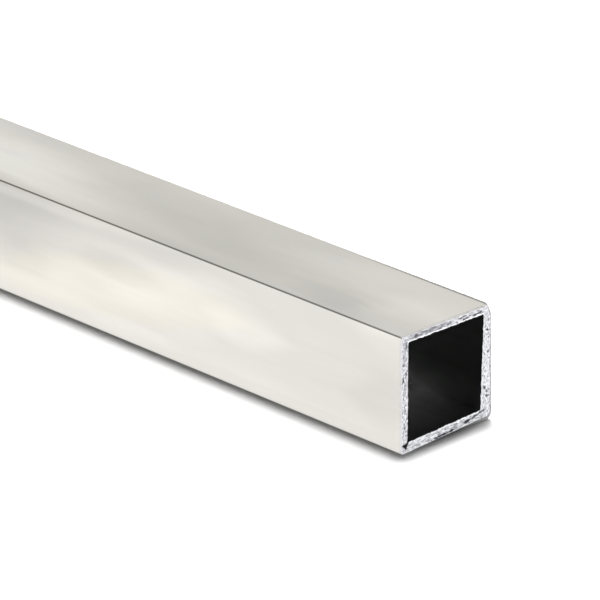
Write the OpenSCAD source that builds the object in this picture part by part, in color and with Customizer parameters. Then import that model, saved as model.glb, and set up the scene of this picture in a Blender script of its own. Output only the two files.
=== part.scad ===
// Square metal tube: one length of extruded bar stock, sawn off square at both ends.
// It lies on one flat side. X runs along the bar and Z is up. The origin is on the
// underside, halfway along the bar and halfway across it.

/* [Section] */
// Outside size of the square section, across the flats
side = 25; // [15:1:60]
// Thickness of the four walls
wall = 2; // [1.5:0.5:5]
// Radius of the four outside corners
outer_corner_r = 0.4; // [0.1:0.1:0.9]
// Radius of the four inside corners
inner_corner_r = 0.3; // [0.1:0.1:0.9]

/* [Length] */
// Length of the bar as it is sold, from saw cut to saw cut
bar_length = 1000; // [100:10:6000]

/* [Torn corner] */
// How far along the bar the tear runs in from the near saw cut
tear_depth = 1.5; // [0.5:0.1:5]
// Width of the crack where it opens into the bore
tear_mouth = 0.3; // [0.1:0.1:0.6]
// How far the lower prong reaches from the inside corner, across and down
tear_drop = 1.1; // [0.6:0.1:1.1]
// How far the metal between the two prongs stands into the tear
tear_web = 0.15; // [0.05:0.05:0.2]
// Metal left between the upper prong and the front face
tear_skin = 0.3; // [0.2:0.1:0.5]

/* [Hidden] */
$fn = 48;
// How far a cut runs past the face that it cuts, so that it comes out clean
overcut = 1;

// The tear's two tips, and the metal between them, from the bar's lower front corner
upper_tip = [tear_skin, wall - tear_mouth];
lower_tip = [wall - tear_drop, wall - tear_drop];
web_tip = (upper_tip + lower_tip) / 2 + [tear_web, tear_web];
tear_outline = [
    [wall, wall + tear_mouth],
    upper_tip,
    web_tip,
    lower_tip,
    [wall + tear_mouth, wall],
    [wall + tear_mouth, wall + tear_mouth]
];

// Turns a drawing of the cross-section into a solid that runs along the bar, from X = start
module along_bar(start, length) {
    translate([start, 0, 0])
        rotate([90, 0, 90])
            linear_extrude(height = length) children();
}

// A square with round corners, standing on the drawing's X axis when lift is 0
module rounded_square(size, corner_r, lift = 0) {
    flat = size - 2 * corner_r;
    translate([0, lift + size / 2]) {
        square([size, flat], center = true);
        square([flat, size], center = true);
        for (across = [-1, 1], up = [-1, 1])
            translate([across, up] * flat / 2) circle(r = corner_r);
    }
}

// The bar's cross-section: four equal walls round a square bore
module section() {
    difference() {
        rounded_square(side, outer_corner_r);
        rounded_square(side - 2 * wall, inner_corner_r, lift = wall);
    }
}

// The forked tear that the saw left in the lower front inside corner of the near end
module torn_corner() {
    along_bar(bar_length / 2 - tear_depth, tear_depth + overcut)
        translate([-side / 2, 0]) polygon(tear_outline);
}

module square_tube() {
    color([0.86, 0.85, 0.82])
        difference() {
            along_bar(-bar_length / 2, bar_length) section();
            torn_corner();
        }
}

square_tube();
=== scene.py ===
from math import cos, log, pi, radians, sin

import bmesh
import bpy
from mathutils import Matrix, Vector


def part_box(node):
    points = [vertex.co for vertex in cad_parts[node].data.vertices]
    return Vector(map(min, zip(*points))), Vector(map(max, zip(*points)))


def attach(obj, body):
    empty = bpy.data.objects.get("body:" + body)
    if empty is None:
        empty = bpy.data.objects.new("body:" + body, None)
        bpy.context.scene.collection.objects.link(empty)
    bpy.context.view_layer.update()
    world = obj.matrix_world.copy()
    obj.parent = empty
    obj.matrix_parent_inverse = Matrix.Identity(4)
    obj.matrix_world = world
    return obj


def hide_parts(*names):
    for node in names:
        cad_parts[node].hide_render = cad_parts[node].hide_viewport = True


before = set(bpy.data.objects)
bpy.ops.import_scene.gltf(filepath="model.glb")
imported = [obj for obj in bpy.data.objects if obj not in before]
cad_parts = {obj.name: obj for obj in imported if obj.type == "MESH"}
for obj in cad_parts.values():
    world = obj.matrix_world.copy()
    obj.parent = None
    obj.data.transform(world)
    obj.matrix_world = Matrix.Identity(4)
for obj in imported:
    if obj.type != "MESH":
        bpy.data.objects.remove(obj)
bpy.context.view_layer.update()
tubeLow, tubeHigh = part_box("square_tube")

mm = 0.001
touching = 0.01     # mm; what lies nearer than this to a skin or a cut is on it

tube = {
    "name": "square_tube_bar",
    "slot": "aluminium",
    "length": tubeHigh.x - tubeLow.x,
    "side": tubeHigh.y - tubeLow.y,
    "wall": 2.0 * mm,
    "outerCornerRadius": 0.4 * mm,
    "innerCornerRadius": 0.3 * mm,
    "cornerSteps": 5,
    "cellsAlongSide": 200,       # an even number, up to 202
    "cellsAcrossWall": 16,
    "ringsBehindCut": (0.05, 0.07, 0.1, 0.16, 0.25, 0.4, 0.7, 1.2, 2.2),    # mm, each one further in
    "mergeWithin": 0.002 * mm,
    "smoothUnder": 38,           # degrees between faces that still shade as one
}
tube["middleHeight"] = tube["side"] / 2
tube["end"] = tube["length"] / 2
tube["boreWidth"] = tube["side"] - 2 * tube["wall"]
inMm = {key: tube[key] / mm for key in ("side", "wall", "end", "middleHeight")}


# Handling

def pickOnly(*pieces):
    if bpy.context.object and bpy.context.object.mode != "OBJECT":
        bpy.ops.object.mode_set(mode="OBJECT")
    bpy.ops.object.select_all(action="DESELECT")
    for piece in pieces:
        piece.select_set(True)
    bpy.context.view_layer.objects.active = pieces[0]


def selectEdges(piece, test):
    bpy.ops.object.mode_set(mode="EDIT")
    bpy.ops.mesh.select_mode(type="EDGE")
    bpy.ops.mesh.select_all(action="DESELECT")
    grid = bmesh.from_edit_mesh(piece.data)
    for edge in grid.edges:
        if test(edge):
            edge.select_set(True)
    bmesh.update_edit_mesh(piece.data)


def applyAll(piece):
    pickOnly(piece)
    for modifier in list(piece.modifiers):
        bpy.ops.object.modifier_apply(modifier=modifier.name)


def reach(point):
    # how far a point stands from the bar's middle line, measured square
    return max(abs(point.y), abs(point.z - tube["middleHeight"]))


# The bar

def roundedSquareWire(name, width, cornerRadius):
    bpy.ops.mesh.primitive_plane_add(
        size=width,
        location=(tube["end"], 0, tube["middleHeight"]),
        rotation=(0, pi / 2, 0),
    )
    wire = bpy.context.object
    wire.name = name
    pickOnly(wire)
    bpy.ops.object.transform_apply(location=True, rotation=True, scale=True)
    bpy.ops.object.mode_set(mode="EDIT")
    bpy.ops.mesh.select_all(action="SELECT")
    bpy.ops.mesh.bevel(offset=cornerRadius, segments=tube["cornerSteps"], affect="VERTICES")
    bpy.ops.mesh.select_all(action="SELECT")
    bpy.ops.mesh.delete(type="ONLY_FACE")
    selectEdges(wire, lambda edge: edge.calc_length() > width / 2)
    bpy.ops.mesh.subdivide(number_cuts=tube["cellsAlongSide"] // 2 - 1)
    bpy.ops.mesh.subdivide(number_cuts=1)
    bpy.ops.object.mode_set(mode="OBJECT")
    return wire


def halfBar(name):
    # the near half: the sawn face, and both skins of the wall as far as the bar's middle
    outside = roundedSquareWire(name, tube["side"], tube["outerCornerRadius"])
    inside = roundedSquareWire("bore_wire", tube["boreWidth"], tube["innerCornerRadius"])
    pickOnly(outside, inside)
    bpy.ops.object.join()
    bpy.ops.object.mode_set(mode="EDIT")
    bpy.ops.mesh.select_all(action="SELECT")
    bpy.ops.mesh.bridge_edge_loops(number_cuts=tube["cellsAcrossWall"] - 1, interpolation="LINEAR")
    midWall = (tube["side"] - tube["wall"]) / 2
    rims = (
        lambda edge: edge.is_boundary and min(reach(corner.co) for corner in edge.verts) > midWall,
        lambda edge: edge.is_boundary and max(reach(corner.co) for corner in edge.verts) < midWall,
    )
    for rim in rims:
        selectEdges(outside, rim)
        for step in tube["ringsBehindCut"]:
            bpy.ops.mesh.extrude_edges_move(TRANSFORM_OT_translate={"value": (-step * mm, 0, 0)})
        restOfWay = tube["end"] - sum(tube["ringsBehindCut"]) * mm
        bpy.ops.mesh.extrude_edges_move(TRANSFORM_OT_translate={"value": (-restOfWay, 0, 0)})
    bpy.ops.object.mode_set(mode="OBJECT")
    return outside


def wholeBar():
    near = halfBar(tube["name"])
    pickOnly(near)
    bpy.ops.object.duplicate()
    far = bpy.context.object
    bpy.ops.transform.rotate(value=pi, orient_axis="Z", center_override=(0, 0, 0))
    bpy.ops.object.transform_apply(location=True, rotation=True, scale=True)
    pickOnly(near, far)
    bpy.ops.object.join()
    bpy.ops.object.mode_set(mode="EDIT")
    bpy.ops.mesh.select_all(action="SELECT")
    bpy.ops.mesh.remove_doubles(threshold=tube["mergeWithin"])
    bpy.ops.mesh.normals_make_consistent(inside=False)
    bpy.ops.object.mode_set(mode="OBJECT")
    return near


tear = {    # the forked crack in the near end's lower front inside corner
    "depth": 1.5,                # mm
    "mergeWithin": 0.004 * mm,   # tidies the edges that the cut leaves
    "sliverWithin": 0.002 * mm,
    "outline": (    # across and up from the bar's lower front corner, in mm
        (2.42, 2.5),
        (1.97, 2.66),
        (1.82, 2.08),
        (1.42, 1.9),
        (0.6, 1.92),
        (0.25, 1.8),
        (0.4, 1.55),
        (0.89, 1.24),
        (1.22, 0.75),
        (1.45, 0.75),
        (1.7, 1.09),
        (2.0, 1.42),
        (2.26, 1.86),
    ),
}


def tearCutter():
    outline = tear["outline"]
    depth = tear["depth"] * mm
    bpy.ops.mesh.primitive_circle_add(vertices=len(outline), radius=tube["wall"], fill_type="NGON")
    cutter = bpy.context.object
    cutter.name = "tear_cutter"
    for corner, (across, up) in zip(cutter.data.vertices, outline):
        corner.co = (tube["end"] - depth, across * mm - tube["side"] / 2, up * mm)
    pickOnly(cutter)
    bpy.ops.object.mode_set(mode="EDIT")
    bpy.ops.mesh.select_all(action="SELECT")
    bpy.ops.mesh.extrude_region_move(TRANSFORM_OT_translate={"value": (2 * depth, 0, 0)})
    bpy.ops.mesh.select_all(action="SELECT")
    bpy.ops.mesh.normals_make_consistent(inside=False)
    bpy.ops.object.mode_set(mode="OBJECT")
    return cutter


def cutTear(bar):
    cutter = tearCutter()
    crack = bar.modifiers.new("tear", "BOOLEAN")
    crack.operation = "DIFFERENCE"
    crack.solver = "EXACT"
    crack.object = cutter
    applyAll(bar)
    bpy.data.objects.remove(cutter)
    bpy.ops.object.mode_set(mode="EDIT")
    bpy.ops.mesh.select_mode(type="FACE")
    bpy.ops.mesh.select_all(action="SELECT")
    bpy.ops.mesh.remove_doubles(threshold=tear["mergeWithin"])
    bpy.ops.mesh.dissolve_degenerate(threshold=tear["sliverWithin"])
    bpy.ops.mesh.select_all(action="DESELECT")
    bpy.ops.mesh.select_face_by_sides(number=4, type="GREATER")
    bpy.ops.mesh.quads_convert_to_tris(quad_method="BEAUTY", ngon_method="BEAUTY")
    bpy.ops.object.mode_set(mode="OBJECT")


# The two sawn ends

sawCut = {
    "rimWidth": 0.3,             # mm of burr along each edge of the sawn face
    "fadeBehind": 0.35,          # mm over which an edge's raggedness dies out along the skins
    "pullBehind": 1.4,           # mm over which the skins follow the face's own relief
    "hollow": 0.05,              # mm that the face lies back between its two burrs
    "reliefs": (    # texture features in mm along x, y and z; depth in mm; level 1 only takes metal away
        {"group": "face", "axis": "X", "features": (4, 1.1, 0.9), "depth": 0.05, "level": 1.0},
        {"group": "face", "axis": "X", "features": (4, 0.9, 0.3), "depth": 0.07, "level": 1.0},
        {"group": "face", "axis": "X", "features": (4, 0.4, 0.5), "depth": 0.07, "level": 1.0},
        {"group": "outerRim", "axis": "NORMAL", "features": (0.7, 0.7, 0.7), "depth": 0.11, "level": 1.0},
        {"group": "innerRim", "axis": "Y", "features": (0.9, 0.9, 0.9), "depth": 0.34, "level": 0.5},
        {"group": "innerRim", "axis": "Z", "features": (0.8, 0.8, 0.8), "depth": 0.34, "level": 0.5},
    ),
}

outOfTrue = {    # how far each corner of the near end lies off, across and up in mm
    "fade": {"bore": 5.13, "outside": 0.63},    # mm behind the cut where it is true again
    "bore": {
        "topFront": (-0.22, 0.60),
        "topBack": (-0.23, 0.52),
        "bottomFront": (-0.42, 0.26),
        "bottomBack": (-1.04, 1.00),
    },
    "outside": {
        "topFront": (0, 0),
        "topBack": (-0.2, -0.1),
        "bottomFront": (0, 0),
        "bottomBack": (0, 1.25),
    },
}

burrs = (    # where the near cut's edges were dragged or knocked, and which way, across and up in mm
    {"at": (1.7, 2.1), "size": 0.7, "move": (0, 0.42)},
    {"at": (-3.4, 1.9), "size": 0.6, "move": (0, 0.16)},
    {"at": (12.3, 24.9), "size": 1.9, "move": (-0.55, -0.12)},
)


def fromCut(point):
    return (tube["end"] - abs(point.x)) / mm


def fromOuterSkin(point):
    return (tube["side"] / 2 - reach(point)) / mm


def fromBore(point):
    return (reach(point) - tube["side"] / 2 + tube["wall"]) / mm


def faceWeight(point):
    return max(0.0, 1 - fromCut(point) / sawCut["pullBehind"])


def hollowWeight(point):
    if fromCut(point) > touching:
        return 0.0
    return min(1.0, fromOuterSkin(point) / sawCut["rimWidth"], fromBore(point) / sawCut["rimWidth"])


def rimWeight(point, fromSkin):
    onFace = 1 - abs(fromSkin(point)) / sawCut["rimWidth"]
    alongSkin = 1 - fromCut(point) / sawCut["fadeBehind"]
    return max(0.0, min(onFace, alongSkin))


def outerRimWeight(point):
    return rimWeight(point, fromOuterSkin)


def innerRimWeight(point):
    return rimWeight(point, fromBore)


def outsideWeight(point):
    # all of it at the outer skin, none at the bore
    return max(0.0, fromBore(point) * mm / tube["wall"]) if point.x > 0 else 0.0


def boreWeight(point):
    return min(1.0, 1 - outsideWeight(point)) if point.x > 0 else 0.0


def skewEnd(piece, group, width):
    # a lattice round the near end: its four near corners move, its far ones hold
    depth = outOfTrue["fade"][group] * mm
    bpy.ops.object.add(
        type="LATTICE", location=(tube["end"] - depth / 2, 0, tube["middleHeight"])
    )
    cage = bpy.context.object
    cage.scale = (depth, width, width)
    cage.data.points_u = cage.data.points_v = cage.data.points_w = 2
    for direction in "uvw":
        setattr(cage.data, "interpolation_type_" + direction, "KEY_LINEAR")
    for point in cage.data.points:
        if point.co.x > 0:
            corner = ("top" if point.co.z > 0 else "bottom") + ("Back" if point.co.y > 0 else "Front")
            across, up = outOfTrue[group][corner]
            point.co_deform.y += across * mm / width
            point.co_deform.z += up * mm / width
    bend = piece.modifiers.new("skew", "LATTICE")
    bend.object = cage
    bend.vertex_group = group + "Near"
    applyAll(piece)
    bpy.data.objects.remove(cage)


def raiseBurr(piece, burr):
    spot = Vector((tube["end"], burr["at"][0] * mm, burr["at"][1] * mm))
    pickOnly(piece)
    bpy.ops.object.mode_set(mode="EDIT")
    bpy.ops.mesh.select_mode(type="VERT")
    bpy.ops.mesh.select_all(action="DESELECT")
    grid = bmesh.from_edit_mesh(piece.data)
    nearest = min(grid.verts, key=lambda corner: (corner.co - spot).length)
    nearest.select_set(True)
    bmesh.update_edit_mesh(piece.data)
    bpy.ops.transform.translate(
        value=(0, burr["move"][0] * mm, burr["move"][1] * mm),
        use_proportional_edit=True,
        proportional_edit_falloff="SMOOTH",
        proportional_size=burr["size"] * mm,
    )
    bpy.ops.object.mode_set(mode="OBJECT")


def weighVertices(piece, name, weightAt):
    # one vertex group for each end, so that the two can be pushed opposite ways
    groups = {1: piece.vertex_groups.new(name=name + "Near"), -1: piece.vertex_groups.new(name=name + "Far")}
    for vertex in piece.data.vertices:
        weight = weightAt(vertex.co)
        if weight > 0:
            groups[1 if vertex.co.x > 0 else -1].add([vertex.index], weight, "REPLACE")


def roughen(piece, relief, end, sign):
    texture = bpy.data.textures.new("saw_grain", "CLOUDS")
    texture.noise_scale = 1
    texture.noise_depth = 1
    bpy.ops.object.empty_add(location=(0, 0, 0))
    grain = bpy.context.object
    grain.scale = Vector(relief["features"]) * mm
    bpy.context.view_layer.update()
    push = piece.modifiers.new("saw_grain", "DISPLACE")
    push.texture = texture
    push.texture_coords = "OBJECT"
    push.texture_coords_object = grain
    push.vertex_group = relief["group"] + end
    push.direction = relief["axis"]
    push.mid_level = relief["level"]
    push.strength = relief["depth"] * mm * (sign if relief["axis"] == "X" else 1)
    applyAll(piece)
    bpy.data.objects.remove(grain)


def measureWall(piece):
    # the finish of the sawn faces reads this, because the bore's mouth moves afterwards
    measure = piece.data.attributes.new("mmFromBore", "FLOAT", "POINT")
    for vertex, reading in zip(piece.data.vertices, measure.data):
        reading.value = fromBore(vertex.co)


def sawEnds(piece):
    measureWall(piece)
    weighVertices(piece, "face", faceWeight)
    weighVertices(piece, "hollow", hollowWeight)
    weighVertices(piece, "outerRim", outerRimWeight)
    weighVertices(piece, "innerRim", innerRimWeight)
    weighVertices(piece, "bore", boreWeight)
    weighVertices(piece, "outside", outsideWeight)
    skewEnd(piece, "bore", tube["boreWidth"])
    skewEnd(piece, "outside", tube["side"])
    for burr in burrs:
        raiseBurr(piece, burr)
    for end, sign in (("Near", 1), ("Far", -1)):
        dip = piece.modifiers.new("hollow", "DISPLACE")
        dip.vertex_group = "hollow" + end
        dip.direction = "X"
        dip.mid_level = 0
        dip.strength = -sawCut["hollow"] * mm * sign
        for relief in sawCut["reliefs"]:
            roughen(piece, relief, end, sign)


flatMap = {    # where the bar's surface lies on its own flat map, in shares of the map
    "name": "OFBake",
    "gap": 0.006,
    "outerStrip": 0.10,          # each of the four outer sides, as long as the map
    "boreStrip": 0.03,           # each of the bore's four sides
    "ringsShare": 0.04,          # of a strip's length, for the fine rings behind a cut
    "endSquare": 0.42,           # each sawn end
    "tearStrip": 0.10,           # the walls of the crack
}
flatMap["boreFrom"] = flatMap["gap"] + 4 * (flatMap["outerStrip"] + flatMap["gap"])
flatMap["endsFrom"] = flatMap["boreFrom"] + 4 * (flatMap["boreStrip"] + flatMap["gap"])


def roundTear(point):
    # how far round the crack's outline a point of its walls lies, from 0 to 1
    spot = Vector((point.y + tube["side"] / 2, point.z)) / mm
    corners = [Vector(corner) for corner in tear["outline"]]
    walked = 0
    nearest = None
    for start, stop in zip(corners, corners[1:] + corners[:1]):
        run = stop - start
        share = min(1, max(0, (spot - start).dot(run) / run.length_squared))
        away = (start + run * share - spot).length
        if nearest is None or away < nearest[0]:
            nearest = (away, walked + share * run.length)
        walked += run.length
    return nearest[1] / walked


def alongStrip(point):
    # from 0 at the far cut to 1 at the near one
    rings = sum(tube["ringsBehindCut"])
    share = flatMap["ringsShare"] * min(1, fromCut(point) / rings)
    beyond = max(0, fromCut(point) - rings) / (inMm["end"] - rings)
    share += (0.5 - flatMap["ringsShare"]) * beyond
    return 1 - share if point.x > 0 else share


def endSheet(near):
    left = flatMap["gap"] if near else 2 * flatMap["gap"] + flatMap["endSquare"]
    turn = 1 if near else -1
    return lambda point: (
        left + flatMap["endSquare"] * (0.5 + turn * point.y / tube["side"]),
        flatMap["endsFrom"] + flatMap["endSquare"] * point.z / tube["side"],
    )


def tearSheet(point):
    return (
        1 - flatMap["gap"] - flatMap["tearStrip"] * fromCut(point) / tear["depth"],
        flatMap["endsFrom"] + flatMap["endSquare"] * roundTear(point),
    )


def stripSheet(center):
    # one row for each of the eight long sides, the outer four first
    across = center.y
    up = center.z - tube["middleHeight"]
    upright = abs(across) > abs(up) + touching * mm
    offset = across if upright else up
    row = 2 * upright + (offset > 0)
    facing = Vector((0, upright, not upright)) * (1 if offset > 0 else -1)
    if fromBore(center) > touching:
        strip, width, start = flatMap["outerStrip"], tube["side"], flatMap["gap"]
    else:
        strip, width, start = flatMap["boreStrip"], tube["boreWidth"], flatMap["boreFrom"]
        facing = -facing
    start += row * (strip + flatMap["gap"])
    rise = facing.cross(Vector((1, 0, 0)))
    middle = Vector((0, 0, tube["middleHeight"]))
    return lambda point: (
        flatMap["gap"] / 2 + (1 - flatMap["gap"]) * alongStrip(point),
        start + strip * (0.5 + (point - middle).dot(rise) / width),
    )


def facesAlongBar(face):
    # true of the sawn faces, and of the crack's floor behind one of them
    return abs(face.normal.x) > 0.9


def inCrack(point):
    # true of the crack's walls: no rounded corner comes as far in as half its radius
    return fromOuterSkin(point) * mm > tube["outerCornerRadius"] / 2 and fromBore(point) > touching


def layFlat(piece):
    # a map for colours baked onto the bar, laid out before its ends are roughened
    layers = piece.data.uv_layers
    while layers:
        layers.remove(layers[0])
    places = layers.new(name=flatMap["name"]).uv
    for face in piece.data.polygons:
        if facesAlongBar(face):
            sheet = endSheet(face.center.x > 0)
        elif inCrack(face.center):
            sheet = tearSheet
        else:
            sheet = stripSheet(face.center)
        for corner in face.loop_indices:
            vertex = piece.data.vertices[piece.data.loops[corner].vertex_index]
            places[corner].vector = sheet(vertex.co)


slotOf = {"drawn": 0, "sawn": 1, "bore": 2}


def onLip(point):
    # the underside just behind the near cut, which lifts towards the back corner
    onUnderside = point.x > 0 and point.z < touching * mm
    return onUnderside and fromCut(point) < outOfTrue["fade"]["outside"]


def sortFaces(piece):
    # which finish each face takes, told by its place before the ends are roughened
    for face in piece.data.polygons:
        if facesAlongBar(face) and fromCut(face.center) < touching:
            finish = "sawn"
        elif onLip(face.center):
            # the lip takes the bore's finish, which paints a shadow on it
            finish = "bore"
        elif fromOuterSkin(face.center) * mm < tube["outerCornerRadius"]:
            finish = "drawn"
        else:
            finish = "bore"
        face.material_index = slotOf[finish]


print("bar: modelling")
bar = wholeBar()
cutTear(bar)
sortFaces(bar)
layFlat(bar)
print("bar: sawing its ends")
sawEnds(bar)
pickOnly(bar)
bpy.ops.object.shade_smooth_by_angle(angle=radians(tube["smoothUnder"]))
print("bar:", len(bar.data.vertices), "vertices,", len(bar.data.polygons), "faces")


# Nodes

def addNode(tree, kind, inputs=None, **settings):
    made = tree.nodes.new(kind)
    for key, value in settings.items():
        setattr(made, key, value)
    for socket, value in (inputs or {}).items():
        if isinstance(value, bpy.types.NodeSocket):
            tree.links.new(value, made.inputs[socket])
        else:
            made.inputs[socket].default_value = value
    return made


def newMaterial(name):
    material = bpy.data.materials.new(name)
    material.use_nodes = True
    material.node_tree.nodes.clear()
    return material


def calculate(tree, operation, first, second=0.0, clamp=False):
    return addNode(
        tree, "ShaderNodeMath", {0: first, 1: second}, operation=operation, use_clamp=clamp
    ).outputs[0]


def seenDirectly(tree):
    # 1 for the camera, and for what metal or glass mirrors to it; 0 for light on its way to the floor
    rays = addNode(tree, "ShaderNodeLightPath").outputs
    mirrored = calculate(tree, "MAXIMUM", rays["Is Camera Ray"], rays["Is Glossy Ray"])
    clear = calculate(tree, "MAXIMUM", mirrored, rays["Is Transmission Ray"])
    direct = calculate(tree, "LESS_THAN", rays["Diffuse Depth"], 0.5)
    return calculate(tree, "MULTIPLY", clear, direct)


def millimetres(tree):
    # object coordinates, counted in millimetres
    place = addNode(tree, "ShaderNodeTexCoord")
    return addNode(
        tree, "ShaderNodeMapping", {"Vector": place.outputs["Object"], "Scale": (1 / mm,) * 3}
    ).outputs[0]


def grain(tree, point, features, detail=2.0, roughness=0.5, shift=(0, 0, 0)):
    # noise from 0 to 1 whose features have this size in mm along x, y and z
    stretch = addNode(
        tree, "ShaderNodeMapping",
        {"Vector": point, "Location": shift, "Scale": tuple(1 / size for size in features)},
    )
    return addNode(
        tree, "ShaderNodeTexNoise",
        {"Vector": stretch.outputs[0], "Scale": 1.0, "Detail": detail, "Roughness": roughness},
    ).outputs["Fac"]


def blend(tree, amount, low, high):
    # from low to high as amount goes from 0 to 1
    return addNode(tree, "ShaderNodeMapRange", {"Value": amount, "To Min": low, "To Max": high}).outputs[0]


def remap(tree, value, fromLow, fromHigh, toLow=0.0, toHigh=1.0):
    return addNode(
        tree, "ShaderNodeMapRange",
        {"Value": value, "From Min": fromLow, "From Max": fromHigh, "To Min": toLow, "To Max": toHigh},
        interpolation_type="SMOOTHSTEP",
    ).outputs[0]


def patch(tree, point, spot):
    # 1 in the middle of a soft-edged oval and 0 outside it
    inside = addNode(
        tree, "ShaderNodeMapping",
        {
            "Vector": point,
            "Location": spot["at"],
            "Rotation": tuple(radians(angle) for angle in spot.get("turn", (0, 0, 0))),
            "Scale": spot["size"],
        },
        vector_type="TEXTURE",
    )
    away = addNode(tree, "ShaderNodeVectorMath", {0: inside.outputs[0]}, operation="LENGTH")
    return remap(tree, away.outputs["Value"], 1.0, spot.get("core", 0.3))


def sumOfPatches(tree, point, spots, start=0.0):
    total = start
    for spot in spots:
        total = addNode(
            tree, "ShaderNodeMath",
            {0: patch(tree, point, spot), 1: spot["tone"], 2: total},
            operation="MULTIPLY_ADD",
        ).outputs[0]
    return total


def wobbled(tree, point, features, amount):
    # the same point pushed about by noise in mm, to break up an outline drawn from it
    stretch = addNode(
        tree, "ShaderNodeMapping", {"Vector": point, "Scale": tuple(1 / size for size in features)}
    )
    noise = addNode(
        tree, "ShaderNodeTexNoise", {"Vector": stretch.outputs[0], "Scale": 1.0, "Detail": 2.0}
    )
    centred = addNode(
        tree, "ShaderNodeVectorMath", {0: noise.outputs["Color"], 1: (0.5, 0.5, 0.5)}, operation="SUBTRACT"
    )
    return addNode(
        tree, "ShaderNodeVectorMath",
        {0: centred.outputs[0], 1: amount, 2: point},
        operation="MULTIPLY_ADD",
    ).outputs[0]


def tint(tree, amount, first, second):
    mix = addNode(tree, "ShaderNodeMix", data_type="RGBA")
    for socket, value in ((0, amount), (6, first), (7, second)):
        if isinstance(value, bpy.types.NodeSocket):
            tree.links.new(value, mix.inputs[socket])
        else:
            mix.inputs[socket].default_value = value
    return mix.outputs[2]


def finished(material, sockets):
    tree = material.node_tree
    shader = addNode(tree, "ShaderNodeBsdfPrincipled", sockets)
    addNode(tree, "ShaderNodeOutputMaterial", {"Surface": shader.outputs[0]})
    return material


def coordinates(tree, point):
    split = addNode(tree, "ShaderNodeSeparateXYZ", {0: point}).outputs
    return split["X"], split["Y"], split["Z"]


def behindCut(tree, x):
    # how far a point lies from the nearer cut, in mm
    return calculate(tree, "SUBTRACT", inMm["end"], calculate(tree, "ABSOLUTE", x))


def mmFromBore(tree):
    # measured before the mouth went out of true
    return addNode(tree, "ShaderNodeAttribute", attribute_name="mmFromBore").outputs["Fac"]


def offMiddle(tree, y, z):
    # how far a point stands from the bar's middle line, sideways and up, in mm
    above = calculate(tree, "SUBTRACT", z, inMm["middleHeight"])
    return calculate(tree, "ABSOLUTE", y), calculate(tree, "ABSOLUTE", above)


# Finishes

middleOfNoise = (0.3, 0.7)       # nearly all of a noise lies between these

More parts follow.
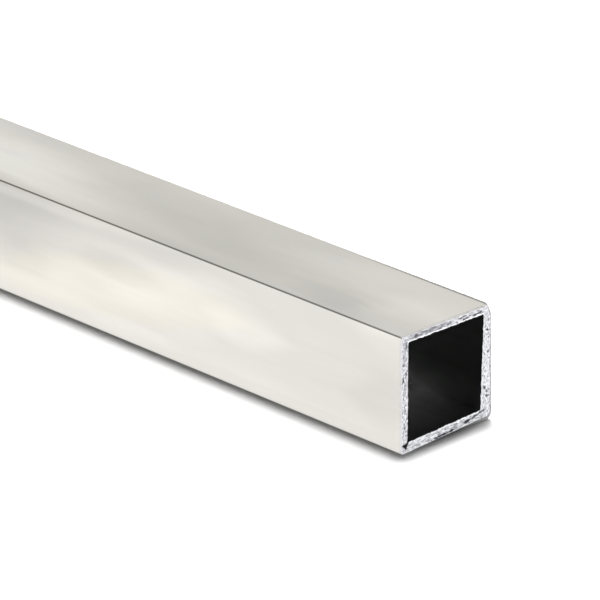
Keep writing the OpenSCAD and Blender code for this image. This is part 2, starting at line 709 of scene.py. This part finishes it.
drawnFinish = {    # all lengths in mm
    "colour": (0.80, 0.777, 0.733),
    "lines": {"features": (120, 0.45, 0.45), "detail": 3.0, "roughness": 0.6},
    "streaks": {"features": (70, 3.0, 3.0)},
    "clouds": {"features": (30, 9, 9), "detail": 1.0},
    "linesTone": (-0.02, 0.02),
    "streaksTone": (-0.03, 0.03),
    "cloudsTone": (0.92, 1.00),
    "streaksRoughness": (0.20, 0.28),
    "linesBump": {"Strength": 0.25, "Distance": 0.02 * mm},
    "waver": {"features": (30, 6, 6), "amount": (18, 4, 4)},    # of the outlines of the tones below
    "tones": (    # painted reflections: where the sides are painted paler or duller in place of what they mirror; x 500 is the near cut
        {"at": (434, -12.5, 14.0), "size": (27, 4, 10.5), "turn": (0, -8, 0), "tone": 0.12},
        {"at": (402, -12.5, 8.5), "size": (46, 4, 7.5), "turn": (0, -8, 0), "tone": 0.10},
        {"at": (366, -12.5, 23.0), "size": (58, 4, 15), "tone": -0.22},
        {"at": (496, -12.5, 11.0), "size": (14, 4, 9), "tone": -0.06},
        {"at": (430, -12.5, 1.0), "size": (150, 4, 7), "core": 0.1, "tone": 0.08},
        {"at": (364, -6.0, 25), "size": (74, 20, 4), "turn": (0, 0, -12), "core": 0.1, "tone": 0.32},
        {"at": (430, 0.0, 25), "size": (42, 10, 4), "turn": (0, 0, -16), "tone": -0.08},
        {"at": (492, 5.0, 25), "size": (46, 14, 4), "tone": 0.16},
        {"at": (474, -7.5, 25), "size": (15, 6, 4), "turn": (0, 0, -10), "tone": -0.08},
        {"at": (440, 0.0, 27), "size": (150, 24, 4), "core": 0.8, "tone": 0.02},
        {"at": (495, -4.0, 25), "size": (16, 13, 4), "tone": 0.10},
        {"at": (418, 8.5, 25), "size": (18, 8, 4), "tone": 0.06},
        {"at": (380, 4.0, 25), "size": (22, 9, 4), "tone": 0.06},
        {"at": (430, -12.5, 23.5), "size": (38, 4, 5), "core": 0.1, "tone": -0.08},
        {"at": (455, -12.5, 13.5), "size": (15, 4, 7), "tone": 0.11},
        {"at": (418, -12.5, 15.5), "size": (16, 4, 4), "tone": -0.09},
        {"at": (386, -12.5, 10.0), "size": (16, 4, 6), "tone": -0.08},
        {"at": (495, -12.5, 23.0), "size": (10, 4, 4), "tone": 0.04},
        {"at": (421, -12.5, 3.0), "size": (18, 4, 3), "tone": 0.05},
    ),
    "drift": {"features": (80, 7, 7), "detail": 1.0, "shift": (5, 2, 8)},
    "driftTone": (-0.06, 0.08),  # how far the tone wanders over the rest of the bar
    "driftFrom": (345, 280),     # along the bar: where it sets in, and where it is full
    "sideFrom": (0.4, 0.1),      # off a side's skin: where its own tone sets in, and where it is full
    "topFrom": (0.6, 0.2),       # below the top
    "besideCut": (1.0, 0.3),     # off the cut: where the sides change, and where they are full
    "besideCutTone": (-0.10, 0.10),    # of the sides and of the top
    "paintedShadeUnderTop": (2.4, 0.2),     # painted shade below the upper edge of the front, far from the cut
    "paintedShadeUnderTopFromCut": (72, 128),
    "paintedShadeUnderTopTone": -0.32,
    "paintedLightAboveFloor": (2.4, 0.9),          # painted light above the floor, on the front, where it mirrors the floor's shadow
    "paintedLightAboveFloorTone": 0.10,
    "warmer": (1.0, 0.994, 0.948),
    "warm": (    # where the painted reflections are yellower, and how much
        {"at": (430, 0.0, 27), "size": (160, 26, 3), "core": 0.8, "tone": 0.55},
        {"at": (415, -12.5, 10.5), "size": (56, 3, 8), "turn": (0, -8, 0), "core": 0.5, "tone": 1.0},
    ),
    "spill": (0.80, 0.79, 0.83, 1),    # the skin right behind the cut, roughened by the saw
    "spillFrom": (0.9, 0.3),
    "spillRagged": {"features": (1.2, 1.8, 1.8)},
    "spillShare": 0.7,
    "spillRoughness": 0.22,
    # painted shade: a dark line along each of the four long corners
    "arris": (0.25, 0.24, 0.21, 1),
    "arrisFrom": (0.30, 0.14),   # off the corner, along both sides that meet there
    "arrisShare": 0.6,
    "backArrisAcross": (1.1, 0.6),     # painted shade off the upper back corner, near the cut
    "backArrisDown": (0.9, 0.4),
    "backArrisFromCut": (48, 12),
}


def restOfBar(tree, x, y, z):
    # 1 where the finish has no painted reflections: far from the near cut, on the back and on the underside
    half = inMm["side"] / 2
    start, full = drawnFinish["sideFrom"]
    onBack = remap(tree, y, half - start, half - full)
    onUnderside = remap(tree, z, start, full)
    hidden = calculate(tree, "MAXIMUM", onBack, onUnderside)
    return calculate(tree, "MAXIMUM", remap(tree, x, *drawnFinish["driftFrom"]), hidden)


def alongEdges(tree, behind, y, z):
    # painted shade along the upper edge of the front, and painted light along its lower edge
    side = inMm["side"]
    start, full = drawnFinish["paintedShadeUnderTop"]
    paintedShadeUnderTop = calculate(
        tree, "MULTIPLY",
        remap(tree, z, side - start, side - full),
        remap(tree, behind, *drawnFinish["paintedShadeUnderTopFromCut"], 0.0, drawnFinish["paintedShadeUnderTopTone"]),
    )
    paintedLightAboveFloor = remap(tree, z, *drawnFinish["paintedLightAboveFloor"], 0.0, drawnFinish["paintedLightAboveFloorTone"])
    start, full = drawnFinish["sideFrom"]
    onFront = remap(tree, y, start - side / 2, full - side / 2)
    return calculate(tree, "MULTIPLY", calculate(tree, "ADD", paintedShadeUnderTop, paintedLightAboveFloor), onFront)


def besideCut(tree, behind, z):
    # the narrow band behind each cut, duller on the sides and paler on the top
    start, full = drawnFinish["topFrom"]
    onTop = remap(tree, z, inMm["side"] - start, inMm["side"] - full)
    return calculate(
        tree, "MULTIPLY",
        remap(tree, behind, *drawnFinish["besideCut"]),
        blend(tree, onTop, *drawnFinish["besideCutTone"]),
    )


def paintedShadeBackArris(tree, behind, y, z):
    # a painted shade line along the upper back corner, near the cut
    start, full = drawnFinish["backArrisAcross"]
    across = remap(tree, y, inMm["side"] / 2 - start, inMm["side"] / 2 - full)
    start, full = drawnFinish["backArrisDown"]
    down = remap(tree, z, inMm["side"] - start, inMm["side"] - full)
    corner = calculate(tree, "MULTIPLY", across, down)
    return calculate(tree, "MULTIPLY", corner, remap(tree, behind, *drawnFinish["backArrisFromCut"]))


def makeDrawnFinish():
    material = newMaterial("drawn_metal")
    tree = material.node_tree
    point = millimetres(tree)
    x, y, z = coordinates(tree, point)
    behind = behindCut(tree, x)
    lines = grain(tree, point, **drawnFinish["lines"])
    streaks = grain(tree, point, **drawnFinish["streaks"])
    clouds = grain(tree, point, **drawnFinish["clouds"])
    uneven = wobbled(tree, point, **drawnFinish["waver"])

    tone = calculate(
        tree, "ADD",
        blend(tree, lines, *drawnFinish["linesTone"]),
        blend(tree, streaks, *drawnFinish["streaksTone"]),
    )
    tone = calculate(tree, "ADD", tone, blend(tree, clouds, *drawnFinish["cloudsTone"]))
    # painted reflections: paler and duller patches on the front and the top near the near cut
    tone = sumOfPatches(tree, uneven, drawnFinish["tones"], start=tone)
    drift = remap(
        tree, grain(tree, uneven, **drawnFinish["drift"]), *middleOfNoise, *drawnFinish["driftTone"]
    )
    for change in (
        calculate(tree, "MULTIPLY", drift, restOfBar(tree, x, y, z)),
        besideCut(tree, behind, z),
        # painted shade under the front's upper edge, painted light above the floor
        alongEdges(tree, behind, y, z),
    ):
        tone = calculate(tree, "ADD", tone, change)

    colour = addNode(
        tree, "ShaderNodeVectorMath", {0: drawnFinish["colour"], 1: tone}, operation="MULTIPLY"
    ).outputs[0]
    yellower = addNode(
        tree, "ShaderNodeVectorMath", {0: colour, 1: drawnFinish["warmer"]}, operation="MULTIPLY"
    ).outputs[0]
    # the yellower colour of the painted reflections
    colour = tint(tree, sumOfPatches(tree, uneven, drawnFinish["warm"]), colour, yellower)
    ragged = calculate(
        tree, "ADD", behind, blend(tree, grain(tree, point, **drawnFinish["spillRagged"]), 1.0, -1.0)
    )
    spill = calculate(
        tree, "MULTIPLY", remap(tree, ragged, *drawnFinish["spillFrom"]), drawnFinish["spillShare"]
    )
    colour = tint(tree, spill, colour, drawnFinish["spill"])
    # painted shade along the four long corners
    start, full = drawnFinish["arrisFrom"]
    nearCorner = calculate(tree, "MINIMUM", *offMiddle(tree, y, z))
    arris = remap(tree, nearCorner, inMm["side"] / 2 - start, inMm["side"] / 2 - full)
    colour = tint(
        tree, calculate(tree, "MULTIPLY", arris, drawnFinish["arrisShare"]), colour, drawnFinish["arris"]
    )
    # painted shade along the upper back corner
    colour = tint(tree, paintedShadeBackArris(tree, behind, y, z), colour, drawnFinish["arris"])

    bump = addNode(tree, "ShaderNodeBump", {"Height": lines, **drawnFinish["linesBump"]})
    roughness = calculate(
        tree, "ADD",
        blend(tree, streaks, *drawnFinish["streaksRoughness"]),
        blend(tree, spill, 0.0, drawnFinish["spillRoughness"]),
    )
    return finished(
        material, {"Base Color": colour, "Metallic": 1.0, "Roughness": roughness, "Normal": bump.outputs[0]}
    )


sawnFinish = {    # all lengths in mm
    "bright": (0.94, 0.945, 0.975, 1),
    "torn": (0.39, 0.39, 0.425, 1),
    "fleck": (0.05, 0.05, 0.055, 1),
    # painted shade: a dark line along the back of the sawn face's outer edge
    "farEdge": (0.20, 0.20, 0.205, 1),
    "marksAcross": {"features": (4, 1.5, 0.42), "detail": 2.5, "roughness": 0.55},
    "marksUpright": {"features": (4, 0.38, 0.6), "detail": 2.5, "roughness": 0.6, "shift": (2, 9, 4)},
    "marksTorn": (0.30, 0.70),   # the noise from which a mark starts, and from which it is fully torn
    "marksPitted": (0.35, 0.55),
    "pits": {"features": (4, 0.6, 0.5), "shift": (7, 3, 5)},
    "pitsFrom": (0.58, 0.68),
    "mitre": (0.4, 0.0),         # off the corner's diagonal, where the marks turn
    "rimWaver": {"features": (4, 0.9, 0.9)},
    "rimWaverBy": (-0.3, 0.3),
    "outerRim": (0.30, 0.12),    # off the outer skin: the clean burr sets in, and is full
    "outerRimShare": 0.6,
    "innerRim": (0.46, 0.22),    # off the bore
    "innerRimShare": (1.0, 0.5),       # on the walls above and below, and on those at the sides
    "farEdgeFrom": (0.28, 0.14),       # painted shade line: off the outer skin
    "farEdgeAcross": (1.2, 0.8),       # off the back side
    "roughness": (0.3, 0.5),
    "scratches": {"features": (4, 0.22, 0.14), "detail": 3.0, "roughness": 0.6},
    "scratchesBump": {"Strength": 0.6, "Distance": 0.1 * mm},
    "waver": {"features": (4, 0.9, 0.7), "amount": (0, 1.2, 0.7)},    # of the outlines of the tones below
    "tones": (    # on the near cut: 1 is dull all over, 2 is black, and less than 0 is clean
        {"at": (500, -5.0, 24.4), "size": (3, 8.5, 1.1), "tone": 0.48},
        {"at": (500, -11.2, 22.8), "size": (3, 0.9, 1.6), "tone": 0.6},
        {"at": (500, -1.4, 0.85), "size": (3, 2.9, 0.36), "turn": (2, 0, 0), "tone": 2.6},
        {"at": (500, 1.5, 1.0), "size": (3, 1.1, 0.36), "tone": 1.8},
        {"at": (500, 5.9, 1.75), "size": (3, 1.3, 0.6), "turn": (10, 0, 0), "tone": 1.5},
        {"at": (500, 7.9, 2.2), "size": (3, 1.4, 0.4), "turn": (16, 0, 0), "tone": 1.6},
        {"at": (500, 9.6, 2.65), "size": (3, 1.5, 0.3), "turn": (16, 0, 0), "tone": 1.3},
        {"at": (500, -5.0, 1.3), "size": (3, 7, 0.8), "tone": -0.1},
        {"at": (500, 4.0, 1.5), "size": (3, 10, 1.0), "tone": 0.1},
        {"at": (500, 8.3, 24.05), "size": (3, 1.9, 0.26), "turn": (8, 0, 0), "tone": 1.3},
        {"at": (500, 5.1, 23.95), "size": (3, 1.6, 0.24), "turn": (6, 0, 0), "tone": 1.2},
        {"at": (500, 4.3, 24.6), "size": (3, 1.5, 0.26), "tone": 1.4},
        {"at": (500, -8.4, 24.5), "size": (3, 0.7, 0.5), "tone": 0.7},
        # painted highlight: a clean pale strip down the back wall near its outer edge
        {"at": (500, 11.4, 12.0), "size": (3, 1.5, 15), "tone": -0.2},
        {"at": (500, -11.5, 11.0), "size": (3, 1.5, 14), "tone": -0.05},
        {"at": (500, 11.4, 20.0), "size": (3, 0.4, 0.6), "tone": 1.8},
        {"at": (500, 11.5, 15.1), "size": (3, 0.4, 0.5), "tone": 1.7},
        {"at": (500, 10.6, 7.6), "size": (3, 0.6, 0.55), "tone": 1.25},
        {"at": (500, 11.2, 6.6), "size": (3, 0.45, 0.5), "tone": 1.1},
        {"at": (500, 11.3, 5.6), "size": (3, 0.6, 0.45), "tone": 1.1},
        {"at": (500, -12.1, 15.8), "size": (3, 0.45, 0.8), "tone": 1.6},
        {"at": (500, -11.2, 16.8), "size": (3, 0.4, 1.0), "tone": 1.3},
        {"at": (500, -12.0, 19.0), "size": (3, 0.4, 0.5), "tone": 1.3},
        {"at": (500, -11.7, 20.5), "size": (3, 0.9, 1.4), "tone": 0.3},
        {"at": (500, -11.3, 14.0), "size": (3, 0.7, 1.6), "tone": 0.35},
        {"at": (500, -11.8, 9.5), "size": (3, 0.8, 1.5), "tone": 0.3},
        {"at": (500, -11.6, 5.5), "size": (3, 0.7, 1.2), "tone": 0.35},
    ),
}


def cleanRims(tree, point, fromBoreEdge, upright):
    # 1 along the two burrs, where no mark shows
    waver = blend(tree, grain(tree, point, **sawnFinish["rimWaver"]), *sawnFinish["rimWaverBy"])
    distance = calculate(tree, "ADD", fromBoreEdge, waver)
    start, full = sawnFinish["outerRim"]
    outer = remap(tree, distance, inMm["wall"] - start, inMm["wall"] - full)
    inner = calculate(
        tree, "MULTIPLY",
        remap(tree, distance, *sawnFinish["innerRim"]),
        blend(tree, upright, *sawnFinish["innerRimShare"]),
    )
    return calculate(
        tree, "MAXIMUM", calculate(tree, "MULTIPLY", outer, sawnFinish["outerRimShare"]), inner
    )


def paintedShadeFarEdge(tree, fromBoreEdge, y):
    # a painted shade line along the sawn face's outer edge at the back
    start, full = sawnFinish["farEdgeFrom"]
    edge = remap(tree, fromBoreEdge, inMm["wall"] - start, inMm["wall"] - full)
    start, full = sawnFinish["farEdgeAcross"]
    atBack = remap(tree, y, inMm["side"] / 2 - start, inMm["side"] / 2 - full)
    return calculate(tree, "MULTIPLY", edge, atBack)


def makeSawnFinish():
    material = newMaterial("sawn_metal")
    tree = material.node_tree
    point = millimetres(tree)
    y, z = coordinates(tree, point)[1:]
    across, up = offMiddle(tree, y, z)
    fromBoreEdge = mmFromBore(tree)
    pastDiagonal = calculate(tree, "SUBTRACT", calculate(tree, "MAXIMUM", across, up), across)
    upright = remap(tree, pastDiagonal, *sawnFinish["mitre"])
    marks = blend(
        tree, upright,
        grain(tree, point, **sawnFinish["marksAcross"]),
        grain(tree, point, **sawnFinish["marksUpright"]),
    )
    torn = remap(tree, marks, *sawnFinish["marksTorn"])
    torn = sumOfPatches(
        tree, wobbled(tree, point, **sawnFinish["waver"]), sawnFinish["tones"], start=torn
    )
    offRims = calculate(tree, "SUBTRACT", 1.0, cleanRims(tree, point, fromBoreEdge, upright))
    torn = calculate(tree, "MULTIPLY", torn, offRims)

    colour = tint(tree, torn, sawnFinish["bright"], sawnFinish["torn"])
    black = calculate(tree, "SUBTRACT", torn, 1.0, clamp=True)
    colour = tint(tree, black, colour, sawnFinish["fleck"])
    pits = remap(tree, grain(tree, point, **sawnFinish["pits"]), *sawnFinish["pitsFrom"])
    flecks = calculate(tree, "MULTIPLY", pits, remap(tree, marks, *sawnFinish["marksPitted"]), clamp=True)
    colour = tint(tree, flecks, colour, sawnFinish["fleck"])
    # painted shade along the back edge of the sawn face
    colour = tint(tree, paintedShadeFarEdge(tree, fromBoreEdge, y), colour, sawnFinish["farEdge"])

    scratches = grain(tree, point, **sawnFinish["scratches"])
    bump = addNode(tree, "ShaderNodeBump", {"Height": scratches, **sawnFinish["scratchesBump"]})
    roughness = blend(tree, torn, *sawnFinish["roughness"])
    return finished(
        material, {"Base Color": colour, "Metallic": 1.0, "Roughness": roughness, "Normal": bump.outputs[0]}
    )


boreFinish = {    # painted shade: the bore is near black at its mouth and paler further in; all lengths in mm
    "floor": (0.077, 0.150),     # how pale at the mouth, and how fast it pales further in, per mm
    "walls": (0.019, 0.095),
    "floorToWalls": (2.1, 10.0),       # up from the underside
    "floorToWallsCurve": 0.85,
    "palesUntil": 45.0,          # behind the cut
    "palest": 0.90,
    "palestSoftness": 0.3,
    "dust": {"features": (30, 2.0, 2.0), "detail": 3.0},
    "dustTone": (1.1, 0.9),
    "dustRoughness": (0.6, 0.8),
    "fold": 0.80,                # painted shade in the rounded inside corners: how much of their paleness they keep
    "foldFrom": (1.2, 0.2),      # off the corner
    "foldBehindCut": (19, 9),
    # left out of the bore's painted shade, so they stay pale
    "hiddenWallsPale": 0.50,                # the front and the top wall, which the photograph doesn't show
    "hiddenWallsPaleFrom": (3.0, 2.2),      # off the outside
    "hiddenWallsPaleBehindCut": (4, 9),
    "black": 0.02,               # painted shade deep in the bore: all four walls go over to this
    "blackBehindCut": (24, 45),
    "torn": 0.30,                # the walls of the crack
    "tornFromBore": (0.1, 0.4),
    "lip": (0.20, 0.75),         # painted shadow under the near cut, from the bar's middle to its back corner
    "lipAcross": 2.0,            # where it starts to pale
    "lipFromBore": (1.85, 1.95),
}


def paleByDepth(tree, depth, z):
    # painted shade: the bore pales on its way in, its floor from a paler start and faster than its walls
    height = addNode(
        tree, "ShaderNodeMapRange",
        {"Value": z, **dict(zip(("From Min", "From Max"), boreFinish["floorToWalls"]))},
    ).outputs[0]
    height = calculate(tree, "POWER", height, boreFinish["floorToWallsCurve"])
    seenDepth = calculate(tree, "MINIMUM", depth, boreFinish["palesUntil"])
    low, high = (
        calculate(tree, "ADD", calculate(tree, "MULTIPLY", seenDepth, growth), log(atMouth))
        for atMouth, growth in (boreFinish["floor"], boreFinish["walls"])
    )
    paleness = calculate(tree, "EXPONENT", blend(tree, height, low, high))
    return addNode(
        tree, "ShaderNodeMath",
        {0: paleness, 1: boreFinish["palest"], 2: boreFinish["palestSoftness"]},
        operation="SMOOTH_MIN",
    ).outputs[0]


def makeBoreFinish():
    material = newMaterial("dark_bore")
    tree = material.node_tree
    point = millimetres(tree)
    x, y, z = coordinates(tree, point)
    half = inMm["side"] / 2
    depth = behindCut(tree, x)
    fromBoreEdge = mmFromBore(tree)
    dust = grain(tree, point, **boreFinish["dust"])
    # painted shade of the bore, near black at the mouth
    paleness = paleByDepth(tree, depth, z)
    paleness = calculate(tree, "MULTIPLY", paleness, blend(tree, dust, *boreFinish["dustTone"]))

    # painted shade in the bore's rounded inside corners
    start, full = (half - inMm["wall"] - off for off in boreFinish["foldFrom"])
    nearFold = calculate(tree, "MINIMUM", *offMiddle(tree, y, z))
    fold = calculate(
        tree, "MULTIPLY",
        remap(tree, nearFold, start, full),
        remap(tree, depth, *boreFinish["foldBehindCut"]),
    )
    paleness = calculate(tree, "MULTIPLY", paleness, blend(tree, fold, 1.0, boreFinish["fold"]))

    # the front and the top wall stay out of the bore's painted shade
    start, full = boreFinish["hiddenWallsPaleFrom"]
    hiddenWallsPale = calculate(
        tree, "MAXIMUM",
        remap(tree, y, start - half, full - half),
        remap(tree, z, inMm["side"] - start, inMm["side"] - full),
    )
    hiddenWallsPale = calculate(tree, "MULTIPLY", hiddenWallsPale, remap(tree, depth, *boreFinish["hiddenWallsPaleBehindCut"]))
    # painted shadow on the lip under the near cut
    lip = remap(tree, y, boreFinish["lipAcross"], half, *boreFinish["lip"])
    for amount, level in (
        (hiddenWallsPale, boreFinish["hiddenWallsPale"]),
        # painted shade deep in the bore
        (remap(tree, depth, *boreFinish["blackBehindCut"]), boreFinish["black"]),
        (remap(tree, fromBoreEdge, *boreFinish["tornFromBore"]), boreFinish["torn"]),
        (remap(tree, fromBoreEdge, *boreFinish["lipFromBore"]), lip),
    ):
        paleness = blend(tree, amount, paleness, level)
    roughness = blend(tree, dust, *boreFinish["dustRoughness"])
    return finished(
        material,
        {"Base Color": paleness, "Metallic": 0.0, "Specular IOR Level": 0.2, "Roughness": roughness},
    )


print("finishes: drawn sides, sawn ends and bore")
for finish in (makeDrawnFinish(), makeSawnFinish(), makeBoreFinish()):
    bar.data.materials.append(finish)


# Studio

studio = {
    "floorSize": 120,
    "floorColour": (0.80, 0.80, 0.80, 1),
    "floorSeen": (1.22, 1.22, 1.22, 1),
    "floorMirrored": {"strength": 1.04, "share": 0.8},
    "ambient": 0.13,
    "sky": ((0.0, 1.0), (0.38, 0.82), (0.62, 0.2), (0.78, 0.25), (1.0, 0.45)),    # height and brightness
    "lamps": {
        "key": {"from": (-0.10, 0.10, 0.99), "distance": 4.0, "size": 0.66, "power": 125},
        "side": {"from": (0.75, 0.60, 0.09), "distance": 1.6, "size": 0.5, "power": 1.2},
        "back": {"from": (-0.10, 0.95, 0.30), "distance": 1.6, "size": 0.5, "power": 10},
    },
}


def makeFloor():
    bpy.ops.mesh.primitive_plane_add(size=studio["floorSize"], location=(0, 0, 0))
    floor = bpy.context.object
    floor.name = "studio_floor"
    material = newMaterial("floor_paper")
    tree = material.node_tree
    plain = addNode(tree, "ShaderNodeBsdfDiffuse", {"Color": studio["floorColour"]})
    shaded = addNode(tree, "ShaderNodeBsdfDiffuse", {"Color": studio["floorSeen"]})
    white = addNode(
        tree, "ShaderNodeEmission",
        {"Color": (1, 1, 1, 1), "Strength": studio["floorMirrored"]["strength"]},
    )
    rays = addNode(tree, "ShaderNodeLightPath")
    byMetal = calculate(tree, "SUBTRACT", 1.0, rays.outputs["Is Camera Ray"])
    mirrored = calculate(tree, "MULTIPLY", byMetal, studio["floorMirrored"]["share"])
    seen = addNode(
        tree, "ShaderNodeMixShader", {0: mirrored, 1: shaded.outputs[0], 2: white.outputs[0]}
    )
    mix = addNode(
        tree, "ShaderNodeMixShader",
        {0: seenDirectly(tree), 1: plain.outputs[0], 2: seen.outputs[0]},
    )
    addNode(tree, "ShaderNodeOutputMaterial", {"Surface": mix.outputs[0]})
    floor.data.materials.append(material)


def makeWorld():
    world = bpy.data.worlds.new("studio")
    bpy.context.scene.world = world
    world.use_nodes = True
    tree = world.node_tree
    tree.nodes.clear()
    direction = addNode(tree, "ShaderNodeTexCoord")
    split = addNode(tree, "ShaderNodeSeparateXYZ", {0: direction.outputs["Generated"]})
    ramp = addNode(tree, "ShaderNodeValToRGB", {0: split.outputs["Z"]})
    stops = ramp.color_ramp.elements
    while len(stops) < len(studio["sky"]):
        stops.new(0.5)
    for stop, (height, level) in zip(stops, studio["sky"]):
        stop.position = height
        stop.color = (level, level, level, 1)
    seen = addNode(tree, "ShaderNodeBackground", {"Color": ramp.outputs[0], "Strength": 1.0})
    plain = addNode(
        tree, "ShaderNodeBackground", {"Color": (1, 1, 1, 1), "Strength": studio["ambient"]}
    )
    mix = addNode(
        tree, "ShaderNodeMixShader",
        {0: seenDirectly(tree), 1: plain.outputs[0], 2: seen.outputs[0]},
    )
    addNode(tree, "ShaderNodeOutputWorld", {"Surface": mix.outputs[0]})


def makeLamp(name, settings):
    target = Vector((tube["end"], 0, tube["middleHeight"]))
    lamp = bpy.data.lights.new(name, "AREA")
    lamp.shape = "DISK"
    lamp.size = settings["size"]
    lamp.energy = settings["power"]
    holder = bpy.data.objects.new(name, lamp)
    bpy.context.collection.objects.link(holder)
    away = Vector(settings["from"]).normalized()
    holder.location = target + away * settings["distance"]
    holder.rotation_euler = away.to_track_quat("Z", "Y").to_euler()


view = {    # where the photograph was taken from, fitted to the bar's edges
    "azimuth": 46.644,           # degrees round from the front
    "elevation": 22.354,
    "roll": -0.456,
    "behindCut": 0.1 * mm,       # how far the sawn face's own relief lies back
    "distance": 1064.2 * mm,     # from the middle of the near cut
    "aside": 28.985 * mm,        # the cut's place right of the frame's middle
    "above": -15.679 * mm,
    "focalPixels": 5394.6,
    "framePixels": 600,
    "sensorWidth": 36,
    "clip": (0.05, 500),
}


def makeCamera():
    turn, lift, roll = (radians(view[key]) for key in ("azimuth", "elevation", "roll"))
    back = Vector((sin(turn) * cos(lift), -cos(turn) * cos(lift), sin(lift)))
    levelRight = Vector((cos(turn), sin(turn), 0))
    levelUp = back.cross(levelRight)
    right = levelRight * cos(roll) + levelUp * sin(roll)
    up = levelUp * cos(roll) - levelRight * sin(roll)
    cutMiddle = Vector((tube["end"] - view["behindCut"], 0, tube["middleHeight"]))
    place = cutMiddle + back * view["distance"] - right * view["aside"] - up * view["above"]
    lens = bpy.data.cameras.new("photo_camera")
    lens.sensor_width = view["sensorWidth"]
    lens.lens = lens.sensor_width * view["focalPixels"] / view["framePixels"]
    lens.clip_start, lens.clip_end = view["clip"]
    camera = bpy.data.objects.new("photo_camera", lens)
    bpy.context.collection.objects.link(camera)
    camera.matrix_world = Matrix.Translation(place) @ Matrix((right, up, back)).transposed().to_4x4()
    bpy.context.scene.camera = camera


print("studio: floor, light and camera")
makeFloor()
makeWorld()
for name, settings in studio["lamps"].items():
    makeLamp(name, settings)
makeCamera()
bpy.context.scene.view_settings.view_transform = "Standard"

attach(bar, "root")
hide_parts("square_tube")
